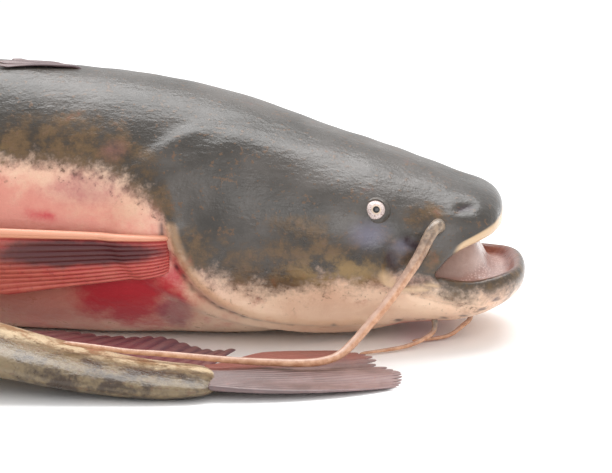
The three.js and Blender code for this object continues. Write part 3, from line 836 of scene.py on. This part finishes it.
right_line = [skin(29, 20, -2.5), skin(29, 20, 1.5), here(118, -62.5, 54.5), here(112, -67, 44),
              here(104.5, -71.5, 33.8), here(98, -76, 26), here(91, -80.5, 18.8),
              here(84.5, -85.5, 12.5), here(78, -91.5, 8.6), here(70, -97, 7.6),
              here(60, -99.5, 7.8), here(46, -100.5, 8.6), here(32, -103.5, 10.4),
              here(16, -107, 13), here(5, -108, 14.3), here(-7, -109.5, 15.6),
              here(-20, -112, 18.2), here(-33, -115, 20.8)]
left_line = [skin(29, 160, -2.5), skin(29, 160, 1.5), here(126, 52.5, 49), here(122, 63, 34),
             here(108, 76, 19), here(90, 87, 7), here(66, 95, 3.2), here(30, 101, 2.6),
             here(-8, 106, 2.2), here(-40, 116, 1.8), here(-62, 130, 1.5)]
barbel("long_barbel_right", "maxillary_barbel_right", right_line, 2.9, 0.9, 150)
barbel("long_barbel_left", "maxillary_barbel_left", left_line, 2.9, 0.9, 130)


def chin_line(sign, s, out, low, back, wide_out):
    _, _, _, side, _ = section(s)

    def at(further, across, z):
        centre = section(s + further)[0]
        point = centre + side * (sign * across)
        point.z = z
        return point

    return [at(0, out - 1.5, low + 6), at(0, out, low + 1), at(3, out + wide_out * 0.15, low - 1.6),
            at(back * 0.4, out + wide_out * 0.5, 2.0), at(back, out + wide_out, 1.5)]


for side_name, sign in (("right", 1), ("left", -1)):
    barbel("chin_barbel_front_" + side_name + "_skin", "chin_barbel_front_" + side_name,
           chin_line(sign, 14, 17, 7.6, 26, 15), 1.4, 0.7, 26, 10)
    barbel("chin_barbel_rear_" + side_name + "_skin", "chin_barbel_rear_" + side_name,
           chin_line(sign, 30, 33, 6.2, 32, 22), 1.4, 0.7, 26, 10)


# ---- Fins -----------------------------------------------------------------------------
# Thin webs of skin on fanned soft rays. The rays stand proud of the web on both faces,
# and the web is notched between their tips. The pectoral fins have one stout pale spine.
def web_finish(name, web, ray, tip, spine, dark_middle):
    finish = Finish(name)
    out, ridge = finish.mark("out"), finish.mark("ridge")
    cloud = finish.grain(120, 4, 0.6)
    fleck = finish.grain(700, 3, 0.6)
    colour = finish.mix((cloud + (out - 0.5) * 0.5).above(0.35, 0.75), web, tip)
    colour = finish.mix(ridge.above(0.35, 1.0) * (0.1 + 0.7 * cloud), colour, ray)
    shade = finish.mark("shade") + (cloud - 0.5) * 0.5
    colour = finish.mix(shade.above(0.2, 0.7) * 0.9, colour, dark_middle)
    colour = finish.mix(fleck.above(0.58, 0.7) * 0.3, colour, dark_middle)
    colour = finish.mix(finish.mark("spine").above(0.3, 0.7), colour, spine)
    finish.set(Base_Color=colour, Roughness=0.26 + 0.2 * cloud, Coat_Weight=0.15, Coat_Roughness=0.12,
               Normal=finish.bump(ridge * 0.5 + fleck * 0.3 + cloud * 0.2, 0.0006, 0.8))
    return finish


def closed_edge(shape, loop):
    """Closes a loop of two equal rows with a strip of small faces.

    The strip is made while the loop is spread on a circle, because a thin twisted margin
    would be joined in the wrong order.
    """
    kept = [v.co.copy() for v in loop]
    for k, v in enumerate(loop):
        turn = 2 * math.pi * (k + 0.5) / len(loop)
        v.co = (200 * math.cos(turn), 200 * math.sin(turn), 0)
    for k in range(len(loop) // 2 - 1):
        bmesh.ops.contextual_create(shape, geom=[loop[k], loop[k + 1], loop[-2 - k], loop[-1 - k]])
    for v, place in zip(loop, kept):
        v.co = place


def fin(name, node, finish, rays, long_steps, middle, half_thickness, shade=None, spine=0.0):
    """A web from root to margin; middle(out, across) is its mid surface in mm."""
    columns = rays * 4
    shape = bmesh.new()
    layers = {key: shape.verts.layers.float.new(key) for key in ("out", "ridge", "shade", "spine")}
    loop = list(bmesh.ops.create_circle(shape, radius=200, segments=2 * (columns + 1))["verts"])
    closed_edge(shape, loop)
    for i in range(long_steps + 1):
        if i:
            loop = next_ring(shape, loop)
        out = i / long_steps
        for k, v in enumerate(loop):
            j = k if k <= columns else 2 * columns + 1 - k
            across = j / columns
            here_now = middle(out, across)
            by_out = middle(min(1, out + 0.02), across) - middle(max(0, out - 0.02), across)
            by_across = middle(out, min(1, across + 0.02)) - middle(out, max(0, across - 0.02))
            normal = by_out.cross(by_across).normalized()
            ridge = abs(math.sin(math.pi * rays * across)) ** 0.8 if 0 < j < columns else 0
            half = half_thickness(out, across) * (0.68 + 0.32 * ridge)
            stout = 1 - smooth(spine * 0.6, spine * 1.3, across) if spine else 0
            if stout:
                half = half * (1 - stout) + stout * 2.5 * (1 - 0.6 * out) \
                    * math.sqrt(max(0.05, 1 - (2 * across / (1.3 * spine) - 1) ** 2))
            v.co = here_now + normal * (half if k <= columns else -half)
            v.co.z = max(0.4, v.co.z)
            v[layers["out"]], v[layers["ridge"]], v[layers["spine"]] = out, ridge, stout
            v[layers["shade"]] = shade(out, across) if shade else 0
    closed_edge(shape, loop)
    bmesh.ops.recalc_face_normals(shape, faces=shape.faces)
    return shaped(name, shape, finish, node, 1)


def notch(rays, across, depth):
    """Shortening of the web between the tips of the rays."""
    return 1 - depth * (1 - abs(math.sin(math.pi * rays * across)) ** 0.5)


def folded_fin(sign, at, run, length, shorten, root_angle, root_span, tip_lift, tip_span, flare,
               thick, rays, ragged):
    def middle(out, across):
        reach = length * (1 - shorten * across ** 1.5) * (1 - (1 - notch(rays, across, ragged)) * out ** 3)
        s = at + run * across + reach * out
        spread = out ** 0.8
        angle = (root_angle - root_span * across * (1 - spread)
                 + (tip_lift - tip_span * across) * spread)
        wave = 0.8 * math.sin(across * 9 + out * 5) * out * min(1, thick)
        off = (0.2 + thick * (0.4 + 0.6 * out) + flare * math.sin(out * math.pi / 2) * (1 - 0.35 * across)
               + wave - 3.2 * (1 - smooth(0, 0.07, out)))
        return skin(s, angle if sign > 0 else 180 - angle, off)

    return middle


red_web = web_finish("red fin", (0.46, 0.055, 0.050), (0.60, 0.17, 0.12), (0.52, 0.11, 0.085),
                     (0.74, 0.34, 0.22), (0.034, 0.005, 0.011))
for side_name, sign in (("right", 1), ("left", -1)):
    fin("pectoral_" + side_name, "pectoral_fin_" + side_name, red_web, 12, 40,
        folded_fin(sign, 143, 0, 106, 0.3, 6, 14, -2, 24, 8, 1.6, 12, 0.10),
        lambda out, across: 1.3 * (1 - 0.6 * out),
        lambda out, across: band((out - 0.38) / 0.42, 1) * band((across - 0.36) / 0.26, 1), 0.13)
    fin("pelvic_" + side_name, "pelvic_fin_" + side_name, red_web, 9, 20,
        folded_fin(sign, 266, 0, 51, 0.4, -44, 9, 3, 16, 4.5, 1.0, 9, 0.12),
        lambda out, across: 0.9 * (1 - 0.6 * out),
        lambda out, across: 0.5 * (1 - out))

dark_web = web_finish("dark fin", (0.085, 0.045, 0.050), (0.20, 0.115, 0.11), (0.13, 0.08, 0.08),
                      (0.20, 0.12, 0.10), (0.030, 0.018, 0.020))
fin("dorsal", "dorsal_fin", dark_web, 5, 18,
    folded_fin(1, 190, 14, 38, 0.5, 86, -3, -11, -11, 0.9, 0.7, 5, 0.14),
    lambda out, across: 0.8 * (1 - 0.5 * out))

ANAL_FROM, ANAL_TO, ANAL_RAYS = 372, LENGTH - 4, 62


def anal_web(out, across):
    s = ANAL_FROM + (ANAL_TO - ANAL_FROM) * across
    _, _, _, side, backward = section(s)
    root = skin(s, -90, 0.6)
    tall = 3 + 25 * smooth(ANAL_FROM, ANAL_FROM + 45, s) * (1 - 0.3 * smooth(ANAL_TO - 50, ANAL_TO, s))
    tall *= 1 - (1 - notch(ANAL_RAYS, across, 0.16)) * out ** 3
    tall *= 1 + 0.07 * noise.noise(Vector((s * 0.12, 3, 7))) * out
    point = root + side * (tall * out) + backward * (14 * out * smooth(ANAL_FROM, ANAL_FROM + 30, s))
    drooped = 1.3 + (root.z - 1.3) * (1 - out) ** 1.4
    stiff = root.z + (11.5 * smooth(660, 740, s) - 9) * out + 0.9 * math.sin(s * 0.13) * out
    point.z = max(0.9, drooped + (stiff - drooped) * smooth(560, 660, s))
    return point


purple_web = web_finish("purple fin", (0.17, 0.055, 0.060), (0.25, 0.12, 0.11), (0.10, 0.045, 0.055),
                        (0.2, 0.1, 0.1), (0.045, 0.022, 0.028))
fin("anal", "anal_fin", purple_web, ANAL_RAYS, 8, anal_web,
    lambda out, across: 0.95 * (1 - 0.55 * out))

TAIL_RAYS = 18


def tail_web(out, across):
    w = 2 * across - 1
    length = 78 * (1 - 0.14 * abs(w) ** 2.5 - 0.07 * max(0, w))
    length *= 1 - 0.05 * band(w - 0.28, 0.09)
    length *= 1 - (1 - notch(TAIL_RAYS, across, 0.09)) * out ** 4
    root = section(LENGTH - 6)[0]
    centre, _, _, side, _ = section(LENGTH - 6 + (length + 5) * out)
    spread = (14.5 + (13 if w > 0 else 8.5) * math.sin(out * 2.0)) * w
    point = centre + side * spread
    point.z = (root.z * (1 - out) ** 1.5 + 1.5 + 4 * max(0, w) * smooth(0, 0.5, out)
               + 0.7 * math.sin(w * 7 + out * 4) * out)
    return point


grey_web = web_finish("tail fin web", (0.13, 0.085, 0.085), (0.33, 0.24, 0.22), (0.24, 0.15, 0.15),
                      (0.2, 0.1, 0.1), (0.29, 0.085, 0.065))
fin("tail", "tail_fin", grey_web, TAIL_RAYS, 34, tail_web,
    lambda out, across: (1.9 - 1.45 * out) * (1 - 0.35 * (2 * across - 1) ** 2),
    lambda out, across: 0.9 * smooth(0.55, 0.8, across) * (1 - 0.4 * out))
